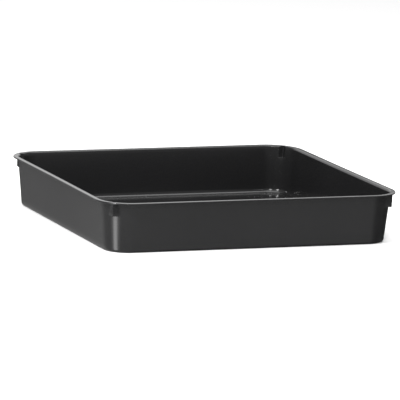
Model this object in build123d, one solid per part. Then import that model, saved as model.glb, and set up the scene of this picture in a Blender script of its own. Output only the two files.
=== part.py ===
"""A flat rectangular paint tray moulded in one piece, with a flat rim and four corner lugs.

Millimetres, +Z up. The origin is on the underside, at the middle of the floor.
+X runs along the long sides, +Y across to the far long side.
"""

from build123d import *
import math
import os

# Overall size, across the rim
TRAY_LENGTH = 400.0
TRAY_WIDTH = 380.0
TRAY_HEIGHT = 64.0
RIM_CORNER_RADIUS = 42.0

# The moulding
WALL = 2.0
FLOOR = 2.2
DRAFT = 6.0  # degrees that every wall leans outwards
RIM_OVERHANG = 6.0  # how far the rim stands out past the outside of the wall
RIM_THICKNESS = 2.0

# Roundings
FLOOR_FILLET = 6.0  # inside, between the wall and the floor
BASE_FILLET = 4.0  # outside, between the wall and the underside
RIM_EDGE_FILLET = 0.8
RIM_UNDER_FILLET = 0.6
MOUTH_FILLET = 3.0  # where the inside wall turns over into the rim

# The hollow stacking lugs: square corners pressed outwards in the rounded corners of the wall
LUG_REACH = 29.4  # from the axis of the wall's corner to each outside face of the lug
LUG_DEPTH = 17.5  # from the top of the rim to the underside of the lug
LUG_DRAFT = 1.0  # degrees; the pocket inside leans like the walls
LUG_EDGE_RADIUS = 0.8
POCKET_EDGE_RADIUS = 1.2

# Worked out from the sizes above
WALL_LENGTH = TRAY_LENGTH - 2 * RIM_OVERHANG
WALL_WIDTH = TRAY_WIDTH - 2 * RIM_OVERHANG
WALL_CORNER_RADIUS = RIM_CORNER_RADIUS - RIM_OVERHANG
WALL_ACROSS = WALL / math.cos(math.radians(DRAFT))  # the leaning wall, measured level
CORNER_X = TRAY_LENGTH / 2 - RIM_CORNER_RADIUS
CORNER_Y = TRAY_WIDTH / 2 - RIM_CORNER_RADIUS
SKIN = 0.01  # how far a cutting shape runs past a face that it cuts through


def tapered_block(length, width, radius, depth):
    """A rounded block that narrows downwards from the top of the tray by the draft."""
    top_plane = Plane(origin=(0, 0, TRAY_HEIGHT), z_dir=(0, 0, -1))
    outline = top_plane * RectangleRounded(length, width, radius)
    return extrude(outline, amount=depth, taper=DRAFT)


def lowest_edges(solid):
    """The edges round the bottom face of a block."""
    return solid.faces().sort_by(Axis.Z)[0].edges()


def outer_body():
    """The outside of the walls and floor, as a solid block."""
    block = tapered_block(WALL_LENGTH, WALL_WIDTH, WALL_CORNER_RADIUS, TRAY_HEIGHT)
    return fillet(lowest_edges(block), BASE_FILLET)


def cavity():
    """The space that holds the paint."""
    block = tapered_block(
        WALL_LENGTH - 2 * WALL_ACROSS,
        WALL_WIDTH - 2 * WALL_ACROSS,
        WALL_CORNER_RADIUS - WALL_ACROSS,
        TRAY_HEIGHT - FLOOR,
    )
    return fillet(lowest_edges(block), FLOOR_FILLET)


def rim():
    """The level plate round the top, with both of its outer edges rounded."""
    outline = RectangleRounded(TRAY_LENGTH, TRAY_WIDTH, RIM_CORNER_RADIUS)
    plate = Pos(0, 0, TRAY_HEIGHT - RIM_THICKNESS) * extrude(outline, amount=RIM_THICKNESS)
    plate = fillet(plate.faces().sort_by(Axis.Z)[-1].edges(), RIM_EDGE_FILLET)
    return fillet(lowest_edges(plate), RIM_UNDER_FILLET)


def corner_prism(reach, bottom, top, edge_radius, draft):
    """A square prism at the first corner, from the corner's axis out to its reach at the top."""
    depth = top - bottom
    side = reach - depth * math.tan(math.radians(draft))
    foot = Pos(CORNER_X, CORNER_Y, bottom) * Rectangle(side, side, align=(Align.MIN, Align.MIN))
    prism = extrude(foot, amount=depth, taper=-draft)
    outer_edge = prism.edges().sort_by(Axis((0, 0, 0), (1, 1, 0)))[-1]
    return fillet(outer_edge, edge_radius)


def at_four_corners(shape):
    """The shape and its mirror images at the other three corners."""
    far_pair = [shape, mirror(shape, about=Plane.YZ)]
    return far_pair + [mirror(each, about=Plane.XZ) for each in far_pair]


def build_tray():
    """The whole moulding."""
    lug_bottom = TRAY_HEIGHT - LUG_DEPTH
    lug = corner_prism(
        LUG_REACH, lug_bottom, TRAY_HEIGHT - RIM_THICKNESS / 2, LUG_EDGE_RADIUS, LUG_DRAFT
    )
    pocket = corner_prism(
        LUG_REACH - WALL, lug_bottom + WALL, TRAY_HEIGHT + SKIN, POCKET_EDGE_RADIUS, DRAFT
    )
    tray = outer_body() + rim()
    for each in at_four_corners(lug):
        tray += each
    tray -= cavity()
    rim_top = tray.faces().sort_by(Axis.Z)[-1]
    tray = fillet(rim_top.inner_wires()[0].edges(), MOUTH_FILLET)
    for each in at_four_corners(pocket):
        tray -= each
    return tray


if __name__ == "__main__":
    os.makedirs("parts", exist_ok=True)
    export_step(build_tray(), "parts/tray.step")
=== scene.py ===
# %% [markdown]
# # A one-piece black paint tray
#
# The real object is a single injection moulding: a shallow rectangular tray in black
# polypropylene, with walls that lean outwards, a flat rim all round, and four hollow lugs
# under the rim that keep stacked trays apart. There is nothing to take off it, so the lesson
# here is how to get one large plain surface right: its outline, its roundings, and the way
# semi-gloss plastic picks up light.
#
# The first cell loads the packed CAD model. It is the fixed frame: the outside sizes below
# come from it, and nothing in it is moved.

import math

import bpy
from mathutils import Matrix, Quaternion, Vector


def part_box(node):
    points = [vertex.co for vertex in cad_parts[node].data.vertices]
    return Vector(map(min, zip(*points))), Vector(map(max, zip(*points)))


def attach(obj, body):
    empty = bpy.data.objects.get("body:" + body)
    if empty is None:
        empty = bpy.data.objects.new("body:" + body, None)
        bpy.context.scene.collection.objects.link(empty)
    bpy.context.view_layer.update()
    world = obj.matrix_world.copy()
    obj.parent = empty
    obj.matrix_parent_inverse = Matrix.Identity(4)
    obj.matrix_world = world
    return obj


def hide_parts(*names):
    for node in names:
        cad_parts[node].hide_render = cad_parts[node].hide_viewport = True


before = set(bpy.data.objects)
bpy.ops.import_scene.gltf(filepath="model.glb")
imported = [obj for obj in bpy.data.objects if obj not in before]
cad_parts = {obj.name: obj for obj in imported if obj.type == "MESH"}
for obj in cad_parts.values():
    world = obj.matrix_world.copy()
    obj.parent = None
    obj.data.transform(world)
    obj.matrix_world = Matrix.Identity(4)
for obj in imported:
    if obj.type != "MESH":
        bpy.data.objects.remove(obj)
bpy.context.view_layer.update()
TRAY_LOW, TRAY_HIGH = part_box("tray")
print("CAD box", [round(v, 4) for v in (*TRAY_LOW, *TRAY_HIGH)])

# %% [markdown]
# ## Sizes
#
# A maker's drawing of a tray is short: the outside of the rim, the height, the corner radius,
# the draft of the walls, and the thicknesses. The outside sizes are read from the frame. The
# rest repeat the drawing. Everything else in the file is worked out from these.

# %% Sizes in metres
MM = 0.001
RIM_HALF_LENGTH = TRAY_HIGH.x
RIM_HALF_WIDTH = TRAY_HIGH.y
HEIGHT = TRAY_HIGH.z
RIM_CORNER = 42 * MM
OVERHANG = 6 * MM
RIM_THICKNESS = 2.0 * MM
WALL = 2.0 * MM
FLOOR = 2.2 * MM
DRAFT = math.radians(6)
FLOOR_FILLET = 6 * MM
BASE_FILLET = 4 * MM
RIM_EDGE = 0.8 * MM
RIM_UNDER = 0.6 * MM
MOUTH_EDGE = 3.0 * MM
LUG_REACH = 29.4 * MM
LUG_DEPTH = 17.5 * MM
LUG_EDGE = 0.8 * MM
LUG_DRAFT = math.radians(1)
print("rim", [round(v, 4) for v in (2 * RIM_HALF_LENGTH, 2 * RIM_HALF_WIDTH, HEIGHT)])

# %% [markdown]
# ## Nodes written as sums
#
# Geometry Nodes and shader nodes share the same Math node, so one small class serves both.
# It wraps an output socket and gives it Python's operators: an expression such as
# `1 - mask * 0.5` then adds its own Math nodes. Any other kind of node comes from `node`,
# which first applies settings, then fills in values or links.

# %% The socket class
class Sum:
    """An output socket that can be added, multiplied and so on, in any node tree."""

    def __init__(self, tree, socket):
        self.tree = tree
        self.socket = socket

    def node(self, kind, values=(), out=0, **settings):
        """Adds a node of a kind, applies its settings, fills its inputs and wraps one output."""
        made = self.tree.nodes.new(kind)
        for name, value in settings.items():
            setattr(made, name, value)
        pairs = values.items() if isinstance(values, dict) else enumerate(values)
        for key, value in pairs:
            if isinstance(value, Sum):
                self.tree.links.new(value.socket, made.inputs[key])
            elif value is not None:
                made.inputs[key].default_value = value
        return Sum(self.tree, made.outputs[out])

    def math(self, operation, *values):
        return self.node("ShaderNodeMath", values, operation=operation)

    def __add__(self, other):
        return self.math("ADD", self, other)

    def __radd__(self, other):
        return self.math("ADD", other, self)

    def __sub__(self, other):
        return self.math("SUBTRACT", self, other)

    def __rsub__(self, other):
        return self.math("SUBTRACT", other, self)

    def __mul__(self, other):
        return self.math("MULTIPLY", self, other)

    def __rmul__(self, other):
        return self.math("MULTIPLY", other, self)

    def __truediv__(self, other):
        return self.math("DIVIDE", self, other)

    def __rtruediv__(self, other):
        return self.math("DIVIDE", other, self)

    def __pow__(self, other):
        return self.math("POWER", self, other)

    def floor(self):
        return self.math("FLOOR", self)

    def sign(self):
        return self.math("SIGN", self)

    def cos(self):
        return self.math("COSINE", self)

    def sin(self):
        return self.math("SINE", self)

    def least(self, other):
        return self.math("MINIMUM", self, other)

    def most(self, other):
        return self.math("MAXIMUM", self, other)

    def above(self, other):
        return self.math("GREATER_THAN", self, other)

    def ramp(self, start, end, low=0.0, high=1.0):
        """Runs smoothly from low to high as this value goes from start to end."""
        values = {"Value": self, "From Min": start, "From Max": end, "To Min": low, "To Max": high}
        return self.node("ShaderNodeMapRange", values, interpolation_type="SMOOTHSTEP")


print("operators ready:", ", ".join(n for n in vars(Sum) if n.startswith("__r")))

# %% [markdown]
# ## The section
#
# Cut the tray across a wall and the cut face is a thin bent strip: floor, fillet, leaning
# wall, rim, and back down the outside. Each point of that section becomes one ring round the
# tray. Because the draft is the same on all sides, a ring needs only two main numbers: how far
# it stands out from the axis of the corners, and its height. Three more say how far the ring
# spreads from the middle (the floor has rings of its own), how far its lugs reach, and where
# round the corner a lug's flat face begins.
#
# Roundings are worked out as arcs, in steps too small to show.

# %% How far each surface stands out
WALL_TOP = RIM_CORNER - OVERHANG
ACROSS = WALL / math.cos(DRAFT)
LUG_BOTTOM = HEIGHT - LUG_DEPTH
POCKET_FLOOR = LUG_BOTTOM + WALL


def outside(height):
    """How far the outside of the wall stands out from the corner's axis."""
    return WALL_TOP - (HEIGHT - height) * math.tan(DRAFT)


def inside(height):
    """The same for the inside of the wall."""
    return outside(height) - ACROSS


def lug_reach(height):
    """How far a lug's outside faces stand out, both ways, from the corner's axis."""
    return LUG_REACH - (HEIGHT - height) * math.tan(LUG_DRAFT)


def pocket_reach(height):
    """The same for the pocket inside the lug."""
    return LUG_REACH - WALL - (HEIGHT - height) * math.tan(DRAFT)


def lug_start(reach, stand_out):
    """The angle from a side's direction at which a lug's flat face meets the round corner."""
    return math.acos(min(reach / stand_out, 1.0))


PLAIN_INSIDE = lug_start(pocket_reach(POCKET_FLOOR), inside(POCKET_FLOOR))
PLAIN_OUTSIDE = lug_start(lug_reach(LUG_BOTTOM), outside(LUG_BOTTOM))
print("a lug's face starts", round(math.degrees(PLAIN_OUTSIDE)), "degrees round the corner")

# %% [markdown]
# ### Floor and inside wall
#
# `ring` notes down one ring and `arc` a run of them along a rounding. Rings on the floor have
# no stand-out at all: they only spread from the middle towards the corner axes. Then come the
# fillet and the plain part of the wall.

# %% Rings of the floor and the inside
DOWN, OUTWARD, UPWARD = -90, 0, 90
LEAN = math.degrees(DRAFT)
FLOOR_SPREADS = (0.0, 0.25, 0.5, 0.75, 0.92, 1.0)
WALL_LEVELS = (15 * MM, 24 * MM, 33 * MM, 42 * MM)
rings = []


def ring(out, height, reach=0.0, spread=1.0, plain=PLAIN_INSIDE):
    """Adds one ring. Where it has no lug, its points still turn the corner in step with one."""
    start = lug_start(reach, out) if reach else plain
    rings.append((out, height, reach, spread, start))


def arc_steps(first, last, steps):
    """Angles from first to last, given in degrees and handed back in radians."""
    return [math.radians(first + (last - first) * i / steps) for i in range(steps + 1)]


def arc(out, height, radius, first, last, steps, plain=PLAIN_INSIDE):
    """Rings along a rounding about a centre."""
    for angle in arc_steps(first, last, steps):
        ring(out + radius * math.cos(angle), height + radius * math.sin(angle), plain=plain)


for spread in FLOOR_SPREADS:
    ring(0.0, FLOOR, spread=spread)
fillet_out = inside(FLOOR + FLOOR_FILLET) - FLOOR_FILLET / math.cos(DRAFT)
ring(fillet_out / 2, FLOOR)
arc(fillet_out, FLOOR + FLOOR_FILLET, FLOOR_FILLET, DOWN, -LEAN, steps=10)
for height in WALL_LEVELS:
    ring(inside(height), height)
print(len(rings), "rings on the floor and up the inside")

# %% [markdown]
# ### Pocket, mouth and rim
#
# The lugs are hollow: seen from inside they are square pockets that start at a small level
# ledge. A ring below the ledge is a plain round corner, the next ring lies at the same height
# but reaches out square, and the ledge is what joins them.

# %% Rings from the pocket to the rim
POCKET_LEVELS = (54 * MM, 59 * MM)
ring(inside(POCKET_FLOOR), POCKET_FLOOR)
for angle in arc_steps(DOWN, OUTWARD, steps=5):
    height = POCKET_FLOOR + LUG_EDGE * (1 + math.sin(angle))
    ring(inside(height), height, pocket_reach(height) - LUG_EDGE * (1 - math.cos(angle)))
for height in POCKET_LEVELS:
    ring(inside(height), height, pocket_reach(height))
mouth_out = inside(HEIGHT - MOUTH_EDGE) + MOUTH_EDGE / math.cos(DRAFT)
for angle in arc_steps(180 - LEAN, UPWARD, steps=8):
    height = HEIGHT - MOUTH_EDGE * (1 - math.sin(angle))
    ring(mouth_out + MOUTH_EDGE * math.cos(angle), height, pocket_reach(height))
arc(RIM_CORNER - RIM_EDGE, HEIGHT - RIM_EDGE, RIM_EDGE, UPWARD, OUTWARD, steps=6)
under = HEIGHT - RIM_THICKNESS
arc(
    RIM_CORNER - RIM_UNDER, under + RIM_UNDER, RIM_UNDER, OUTWARD, DOWN,
    steps=4, plain=PLAIN_OUTSIDE,
)
print(len(rings), "rings so far")

# %% [markdown]
# ### Down the outside
#
# Under the rim the outside has the lugs as solid-looking square blocks with a flat underside.
# Below them the wall is plain down to the fillet at its foot, and the last rings close the
# underside.

# %% Rings of the outside
LUG_LEVELS = (58 * MM, 52 * MM)
FOOT_LEVEL = 8 * MM
UNDERSIDE_SPREADS = (1.0, 0.75, 0.5, 0.25, 0.0)
for height in (under, *LUG_LEVELS):
    ring(outside(height), height, lug_reach(height))
for angle in arc_steps(OUTWARD, DOWN, steps=5):
    height = LUG_BOTTOM + LUG_EDGE * (1 + math.sin(angle))
    ring(outside(height), height, lug_reach(height) - LUG_EDGE * (1 - math.cos(angle)))
ring(outside(LUG_BOTTOM), LUG_BOTTOM, plain=PLAIN_OUTSIDE)
for height in (*reversed(WALL_LEVELS), FOOT_LEVEL):
    ring(outside(height), height, plain=PLAIN_OUTSIDE)
base_out = outside(BASE_FILLET) - BASE_FILLET / math.cos(DRAFT)
arc(base_out, BASE_FILLET, BASE_FILLET, -LEAN, DOWN, steps=7, plain=PLAIN_OUTSIDE)
ring(base_out / 2, 0.0, plain=PLAIN_OUTSIDE)
for spread in UNDERSIDE_SPREADS:
    ring(0.0, 0.0, spread=spread, plain=PLAIN_OUTSIDE)
print(len(rings), "rings in all")

# %% [markdown]
# ### The section as a mesh
#
# The rings become one open line of points, with a point for each ring at its stand-out and
# height. The other three numbers go with the points as named attributes, which is how a mesh
# hands its own data to Geometry Nodes.

# %% A line of points with named numbers
section = bpy.data.meshes.new("tray_section")
links_between = [(i, i + 1) for i in range(len(rings) - 1)]
section.from_pydata([(out, 0.0, height) for out, height, *_ in rings], links_between, [])
for column, name in ((2, "reach"), (3, "spread"), (4, "lug_start")):
    values = section.attributes.new(name, "FLOAT", "POINT")
    values.data.foreach_set("value", [r[column] for r in rings])
tray = bpy.data.objects.new("paint_tray", section)
bpy.context.scene.collection.objects.link(tray)
print("attributes:", [a.name for a in section.attributes if not a.is_internal])

# %% [markdown]
# ## From section to tray
#
# The tray's shape follows a rule, so Geometry Nodes can make it. A plain grid has one row of
# points for each ring and one column for each step round the tray. A point's row gives its
# ring, and its column says which corner it is on, how far it has turned, or how far it is
# along a straight side. The tree then works out where the point goes:
#
# skeleton point (a corner's axis, or a point between two of them) + stand-out x direction
#
# On a lug the stand-out is the larger of the round corner and a square with a slightly eased
# edge. A high power mean gives that square. The columns are moved so that one of them always
# runs exactly along the line where a lug's face meets the round wall, which keeps the line
# crisp. Moulded walls are never dead straight, so all four sides also bow inwards by a hair.

# %% A tree with named inputs
def build_tree(name, sizes):
    """Starts a Geometry Nodes tree with a geometry, a material and named number inputs."""
    tree = bpy.data.node_groups.new(name, "GeometryNodeTree")
    face = tree.interface
    face.new_socket("Geometry", in_out="INPUT", socket_type="NodeSocketGeometry")
    face.new_socket("Material", in_out="INPUT", socket_type="NodeSocketMaterial")
    for label, value in sizes.items():
        kind = "NodeSocketInt" if isinstance(value, int) else "NodeSocketFloat"
        face.new_socket(label, in_out="INPUT", socket_type=kind).default_value = value
    face.new_socket("Geometry", in_out="OUTPUT", socket_type="NodeSocketGeometry")
    entry = tree.nodes.new("NodeGroupInput")
    return tree, {s.name: Sum(tree, s) for s in entry.outputs if s.name}


TRAY_SIZES = {
    "Corner Axis X": RIM_HALF_LENGTH - RIM_CORNER,
    "Corner Axis Y": RIM_HALF_WIDTH - RIM_CORNER,
    "Corner Steps": 48,
    "Side Steps": 20,
    "Lug Share": 0.4,
    "Edge Power": 60.0,
    "Side Bow": 0.5 * MM,
    "Height": HEIGHT,
}
tree, given = build_tree("tray_from_section", TRAY_SIZES)
print("inputs of the tree:", ", ".join(given))

# %% [markdown]
# ### Rows and columns
#
# A grid numbers its points down one row after the other, so a division gives the row, rounded
# down, and what is left over gives the column. `TINY` keeps the rounding safe where the
# division is exact. With the row known, every number of the section can be read from its ring.

# %% Which ring a point belongs to
TINY = 1e-5
start = given["Geometry"]
columns = (given["Corner Steps"] + given["Side Steps"]) * 4 + 1
row_count = start.node("GeometryNodeAttributeDomainSize", [start], component="MESH")
grid = start.node("GeometryNodeMeshGrid", {"Vertices X": row_count, "Vertices Y": columns})
index = start.node("GeometryNodeInputIndex")
row = (index / columns + TINY).floor()
column = index - row * columns


def at_row(field, kind="FLOAT"):
    """A value of the section, read at this point's row."""
    return start.node(
        "GeometryNodeSampleIndex", {"Geometry": start, "Value": field, "Index": row},
        data_type=kind, domain="POINT",
    )


def section_value(name):
    """One of the section's own numbers, read at this point's row."""
    named = start.node("GeometryNodeInputNamedAttribute", {"Name": name}, data_type="FLOAT")
    return at_row(named)


place = at_row(start.node("GeometryNodeInputPosition"), "FLOAT_VECTOR")
split = place.node("ShaderNodeSeparateXYZ", [place])
stand_out, ring_height = split, Sum(tree, split.socket.node.outputs[2])
reach = section_value("reach")
spread = section_value("spread")
face_start = section_value("lug_start")
print("nodes so far:", len(tree.nodes))

# %% [markdown]
# ### Turning the corner
#
# `turn` runs from 0 to 1 round a corner and stays at 1 along the side that follows. Both
# halves of a corner are alike, so the angle is worked out for the first half and mirrored for
# the second. `Lug Share` is the share of a half's steps that come before the lug's flat face.

# %% Angles and directions
QUARTER = math.pi / 2
per_quarter = given["Corner Steps"] + given["Side Steps"]
quarter = (column / per_quarter + TINY).floor()
step = column - quarter * per_quarter
turn = (step / given["Corner Steps"]).least(1.0)
along = ((step - given["Corner Steps"]) / given["Side Steps"]).most(0.0)
half = turn.least(1.0 - turn) * 2.0
share = given["Lug Share"]
on_arc = (half / share).least(1.0)
on_face = ((half - share) / (1.0 - share)).most(0.0)
eased = 1.0 - (1.0 - on_face) ** 2.0
angle_in_half = face_start * on_arc + (QUARTER / 2 - face_start) * eased
second_half = turn.above(0.5)
angle = angle_in_half + second_half * (QUARTER - angle_in_half * 2.0)

power = given["Edge Power"]
mean = (angle_in_half.cos() ** power + angle_in_half.sin() ** power) ** (1.0 / power)
distance = stand_out.most(reach / mean)
heading = quarter * QUARTER + angle


def axis_of(which):
    """The corner axis of a quarter, as two numbers."""
    diagonal = which * QUARTER + QUARTER / 2
    side_x, side_y = diagonal.cos().sign(), diagonal.sin().sign()
    return side_x * given["Corner Axis X"], side_y * given["Corner Axis Y"]


here_x, here_y = axis_of(quarter)
next_x, next_y = axis_of(quarter + 1.0)
bone_x = here_x + (next_x - here_x) * along
bone_y = here_y + (next_y - here_y) * along
bow = (along * math.pi).sin() ** 2.0 * given["Side Bow"] * ring_height / given["Height"]
x = spread * bone_x + (distance - bow) * heading.cos()
y = spread * bone_y + (distance - bow) * heading.sin()
print("nodes so far:", len(tree.nodes))

# %% [markdown]
# ### Weld and finish
#
# The first and last columns lie on each other, and the rings in the middle of the floor shrink
# to one point. Merging by distance welds both, so the tray is one closed skin. The tree ends
# by realizing its instances and setting the material.

# %% Finish the tree
WELD = 1e-6
point = start.node("ShaderNodeCombineXYZ", [x, y, ring_height])
moved = start.node("GeometryNodeSetPosition", {"Geometry": grid, "Position": point})
welded = start.node("GeometryNodeMergeByDistance", {"Geometry": moved, "Distance": WELD})
real = start.node("GeometryNodeRealizeInstances", {"Geometry": welded})
done = start.node("GeometryNodeSetMaterial", {"Geometry": real, "Material": given["Material"]})
last = tree.nodes.new("NodeGroupOutput")
tree.links.new(done.socket, last.inputs[0])
print(len(tree.nodes), "nodes in the tray's tree")

# %% [markdown]
# ## The plastic
#
# Black polypropylene straight from the mould is never a flat black. It has a fine spark-eroded
# grain that breaks up reflections, slow changes of gloss where the melt cooled at different
# speeds, and a few hairline scuffs from being stacked. The pigment hardly changes, so nearly
# all of the look is in roughness and bump. Object coordinates keep the grain at its real size.

# %% Black moulded plastic
DEEP_BLACK = (0.0085, 0.0085, 0.0088, 1)
SOFT_BLACK = (0.012, 0.012, 0.0124, 1)
ROUGHNESS = 0.155
GRAIN_DEPTH = 0.03 * MM
PLASTIC_IOR = 1.49


def new_material(name):
    """An empty node material with its surface shader."""
    material = bpy.data.materials.new(name)
    material.use_nodes = True
    return material, material.node_tree.nodes["Principled BSDF"]


def moulded_plastic():
    """Semi-gloss black polypropylene."""
    material, shader = new_material("black_polypropylene")
    base = material.node_tree
    where = Sum(base, base.nodes.new("ShaderNodeTexCoord").outputs["Object"])

    def noise(scale, detail, vector=where, rough=0.5):
        values = {"Vector": vector, "Scale": scale, "Detail": detail, "Roughness": rough}
        return where.node("ShaderNodeTexNoise", values)

    slow = noise(scale=9.0, detail=2.0)
    patchy = noise(scale=60.0, detail=3.0)
    grain = noise(scale=2600.0, detail=2.0, rough=0.6)
    scuff_place = where.node("ShaderNodeMapping", {"Vector": where, "Scale": (6.0, 160.0, 40.0)})
    scuffs = noise(scale=5.0, detail=4.0, vector=scuff_place).ramp(0.7, 0.82)
    gloss = ROUGHNESS + (slow - 0.5) * 0.07 + (patchy - 0.5) * 0.04 + scuffs * 0.04
    shade = where.node(
        "ShaderNodeMix",
        {"Factor": slow, "A": DEEP_BLACK, "B": SOFT_BLACK},
        out=2, data_type="RGBA",
    )
    bump = where.node(
        "ShaderNodeBump",
        {"Strength": 0.25, "Distance": GRAIN_DEPTH, "Height": grain + scuffs * 0.08},
    )
    base.links.new(gloss.socket, shader.inputs["Roughness"])
    base.links.new(shade.socket, shader.inputs["Base Color"])
    base.links.new(bump.socket, shader.inputs["Normal"])
    shader.inputs["IOR"].default_value = PLASTIC_IOR
    return material


plastic = moulded_plastic()
print(plastic.name, "has", len(plastic.node_tree.nodes), "nodes")

# %% [markdown]
# ### Run the tree once
#
# A Geometry Nodes tree runs as a modifier, and each named number reaches it through the
# identifier of its socket. The result is copied to a plain mesh and the modifier goes, so the
# finished tray no longer depends on the tree. Smooth shading with a limit angle keeps the
# creases of the lugs crisp while the roundings flow.

# %% Run the tree and keep a plain mesh
CREASE = math.radians(28)
maker = tray.modifiers.new("tray_maker", "NODES")
maker.node_group = tree
for item in tree.interface.items_tree:
    if item.in_out == "INPUT" and item.name in TRAY_SIZES:
        maker[item.identifier] = TRAY_SIZES[item.name]
    elif item.in_out == "INPUT" and item.name == "Material":
        maker[item.identifier] = plastic
bpy.context.view_layer.update()
graph = bpy.context.evaluated_depsgraph_get()
built = bpy.data.meshes.new_from_object(tray.evaluated_get(graph))
tray.modifiers.clear()
tray.data = built
built.name = "paint_tray"
built.shade_smooth()
built.set_sharp_from_angle(angle=CREASE)
print(len(built.vertices), "points,", len(built.polygons), "faces")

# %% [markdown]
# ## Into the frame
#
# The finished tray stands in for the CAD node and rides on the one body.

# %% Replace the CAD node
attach(tray, "root")
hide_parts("tray")
print(tray.name, "rides on the root body and replaces the tray node")

# %% [markdown]
# ## The studio
#
# Black plastic shows almost only reflections, so lighting it is mostly a matter of what each
# wall can see. The stage is one large pale floor. Glossy rays pass through it, because a real
# table top is never evenly lit: the sky below the horizon stands in for it, and there the
# light on it can be shaped.

# %% Floor
def plain_material(name, grey, roughness):
    """A plain pale surface for the stage."""
    material, shader = new_material(name)
    shader.inputs["Base Color"].default_value = (grey, grey, grey, 1)
    shader.inputs["Roughness"].default_value = roughness
    return material


def flat_square(name, half, height):
    """A level square of the stage."""
    mesh = bpy.data.meshes.new(name)
    corners = ((-half, -half), (half, -half), (half, half), (-half, half))
    mesh.from_pydata([(*corner, height) for corner in corners], [], [(0, 1, 2, 3)])
    made = bpy.data.objects.new(name, mesh)
    bpy.context.scene.collection.objects.link(made)
    return made


floor = flat_square("studio_floor", half=12.0, height=0.0)
floor.data.materials.append(plain_material("pale_floor", grey=0.85, roughness=0.9))
floor.visible_glossy = False
print(floor.name, "is", round(floor.dimensions.x), "m across")

# %% [markdown]
# ### Directions in the sky
#
# The sky is a node tree too. Each ray asks it about one direction, and a dot product says how
# close that is to a chosen one. `towards` compares with any direction. `compass` compares
# round the horizon only, in degrees: 0 is the right end of the tray, 180 the left end and 270
# the front.

# %% The sky and its two measures
world = bpy.data.worlds.new("studio_sky")
bpy.context.scene.world = world
world.use_nodes = True
bpy.context.scene.view_settings.view_transform = "Standard"
sky_tree = world.node_tree
sky = sky_tree.nodes["Background"]
look = Sum(sky_tree, sky_tree.nodes.new("ShaderNodeTexCoord").outputs["Generated"])
flattened = look.node("ShaderNodeVectorMath", [look, (1, 1, 0)], operation="MULTIPLY")
level_look = look.node("ShaderNodeVectorMath", [flattened], operation="NORMALIZE")


def towards(direction, vector=look):
    """1 straight towards a direction, 0 square to it and -1 away from it."""
    unit = Vector(direction).normalized()
    return look.node("ShaderNodeVectorMath", [vector, unit], out=1, operation="DOT_PRODUCT")


def compass(degrees):
    """The same, round the horizon only."""
    angle_round = math.radians(degrees)
    return towards((math.cos(angle_round), math.sin(angle_round), 0), level_look)


up = towards((0, 0, 1))
print("sky nodes so far:", len(sky_tree.nodes))

# %% [markdown]
# ### What the reflections see
#
# Above the horizon is a dim, even room. Below it is the table top: paler on the left than on
# the right, palest towards the back left, which is what the left wall reflects, and dark close
# to the horizon, so the upright lugs come out darker than the walls, which lean and look
# further down. One strip light stands low on the left. It has a narrow core in a wider glow,
# and it draws the soft bright line down the tray's near corner. It fades out again further
# down, so that the walls don't turn white when they are seen from above.

# %% Room, table top and strip light
ROOM = 0.32
PALE_SIDE = 202
BACK_LEFT = 112
STRIP_SIDE = 203
GLOW_STRENGTH = 1.1
CORE_STRENGTH = 4.2

below = up.ramp(0.03, -0.1)
paler_left = compass(PALE_SIDE).ramp(-0.6, 0.1, 0.1, 0.6)
palest = compass(BACK_LEFT).ramp(0.78, 0.96, 1.0, 1.55)
dark_horizon = up.ramp(-0.2, -0.36, 0.3, 1.03)
table = paler_left * dark_horizon * palest
strip = compass(STRIP_SIDE)
strip_glow = strip.ramp(0.9, 1.0) * GLOW_STRENGTH + strip.ramp(0.975, 1.0) * CORE_STRENGTH
left_box = strip_glow * up.ramp(0.1, -0.08) * up.ramp(-0.65, -0.5)
glossy = ROOM * (1 - below) + table * below + left_box
print("sky nodes so far:", len(sky_tree.nodes))

# %% [markdown]
# ### One sky for reflections, another for the rest
#
# The Light Path node says what kind of ray is asking. The camera and the diffuse light get a
# plain white sky, like a paper sweep, which also gives the soft contact shadow. Every other
# ray gets the shaped sky.

# %% Tell the rays apart
ray_kinds = sky_tree.nodes.new("ShaderNodeLightPath").outputs
diffuse = Sum(sky_tree, ray_kinds["Is Diffuse Ray"])
seen = Sum(sky_tree, ray_kinds["Is Camera Ray"])
strength = glossy + diffuse * (1.0 - glossy) + seen * (1.0 - glossy)
sky.inputs["Color"].default_value = (1, 1, 1, 1)
sky_tree.links.new(strength.socket, sky.inputs["Strength"])
print("the sky has", len(sky_tree.nodes), "nodes")

# %% [markdown]
# ### Soft lights
#
# Four soft boxes do what the sky can't, because they stand close to the tray. A weak one
# overhead lights the roundings. Two small ones end up as bright spots in the fillet of the
# floor. The wide panel behind is seen mostly in the flat rim: it leans, so the near and left
# parts of the rim reflect more of it than the far and right parts.

# %% Soft boxes
def soft_light(name, spot, target, size, power, lean=0.0):
    """A soft box aimed at a point. Lean turns it about its own aim, in degrees."""
    data = bpy.data.lights.new(name, "AREA")
    data.shape = "RECTANGLE"
    data.size, data.size_y = size
    data.energy = power
    lamp = bpy.data.objects.new(name, data)
    lamp.location = spot
    aim = (Vector(target) - Vector(spot)).to_track_quat("-Z", "Y")
    turn_about_aim = Quaternion((0, 0, 1), math.radians(lean))
    lamp.rotation_euler = (aim @ turn_about_aim).to_euler()
    lamp.visible_camera = False
    bpy.context.scene.collection.objects.link(lamp)
    print(name, "gives", power, "W")


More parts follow.
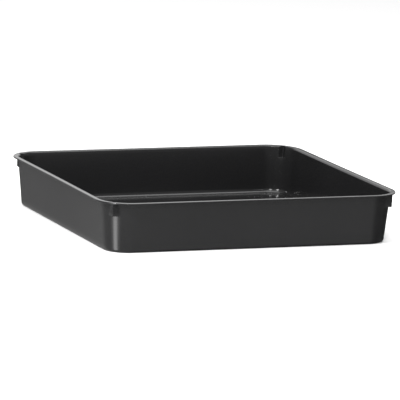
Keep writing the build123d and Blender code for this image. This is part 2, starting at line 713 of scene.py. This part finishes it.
MIDDLE = (0, 0, 0)
soft_light("overhead_box", (0.1, 0.1, 1.7), MIDDLE, size=(1.5, 1.5), power=24)
soft_light("left_key", (-1.1, -0.5, 1.05), MIDDLE, size=(0.18, 0.18), power=20)
soft_light("front_fill", (-0.35, -1.2, 1.05), MIDDLE, size=(0.15, 0.15), power=8)
soft_light(
    "back_panel", (0.223, 0.557, 0.418), (0, 0, 0.418), size=(1.4, 0.5), power=1.9, lean=-8
)

# %% [markdown]
# ### Camera
#
# A long lens from far away keeps opposite rims almost parallel, as in a catalogue picture. The
# camera stands to the left of the front, about ten degrees above the table, and is rolled by
# about two degrees. Its direction is built from three square axes: `back` points from the
# tray to the camera, and the roll turns the other two about it. `SIDE_STEP` moves it about a
# millimetre across its view, which centres the tray.

# %% Camera
CAMERA_AZIMUTH = math.radians(-21.86)
CAMERA_ELEVATION = math.radians(10.32)
CAMERA_ROLL = math.radians(2.22)
CAMERA_DISTANCE = 5.849
CAMERA_LENS = 413.6
AIM = Vector((0.0, 0.0, 0.03))
SIDE_STEP = Vector((-0.00117, -0.00099))


def place_camera():
    """Puts a long lens on the tray from the left of the front, slightly rolled."""
    reach_out = math.cos(CAMERA_ELEVATION)
    back = Vector((
        math.sin(CAMERA_AZIMUTH) * reach_out,
        -math.cos(CAMERA_AZIMUTH) * reach_out,
        math.sin(CAMERA_ELEVATION),
    ))
    level = Vector((0, 0, 1)).cross(back).normalized()
    upright = back.cross(level)
    right = math.cos(CAMERA_ROLL) * level + math.sin(CAMERA_ROLL) * upright
    over = -math.sin(CAMERA_ROLL) * level + math.cos(CAMERA_ROLL) * upright
    data = bpy.data.cameras.new("studio_camera")
    data.lens = CAMERA_LENS
    data.sensor_width = 36
    data.clip_end = 100
    camera = bpy.data.objects.new("studio_camera", data)
    bpy.context.scene.collection.objects.link(camera)
    spot = AIM + back * CAMERA_DISTANCE + right * SIDE_STEP.x + over * SIDE_STEP.y
    turned = Matrix((right, over, back)).transposed().to_4x4()
    camera.matrix_world = Matrix.Translation(spot) @ turned
    bpy.context.scene.camera = camera
    return camera


print("camera at", [round(v, 3) for v in place_camera().matrix_world.translation])

# %% [markdown] The outside box of the finished tray must match the CAD model's box.
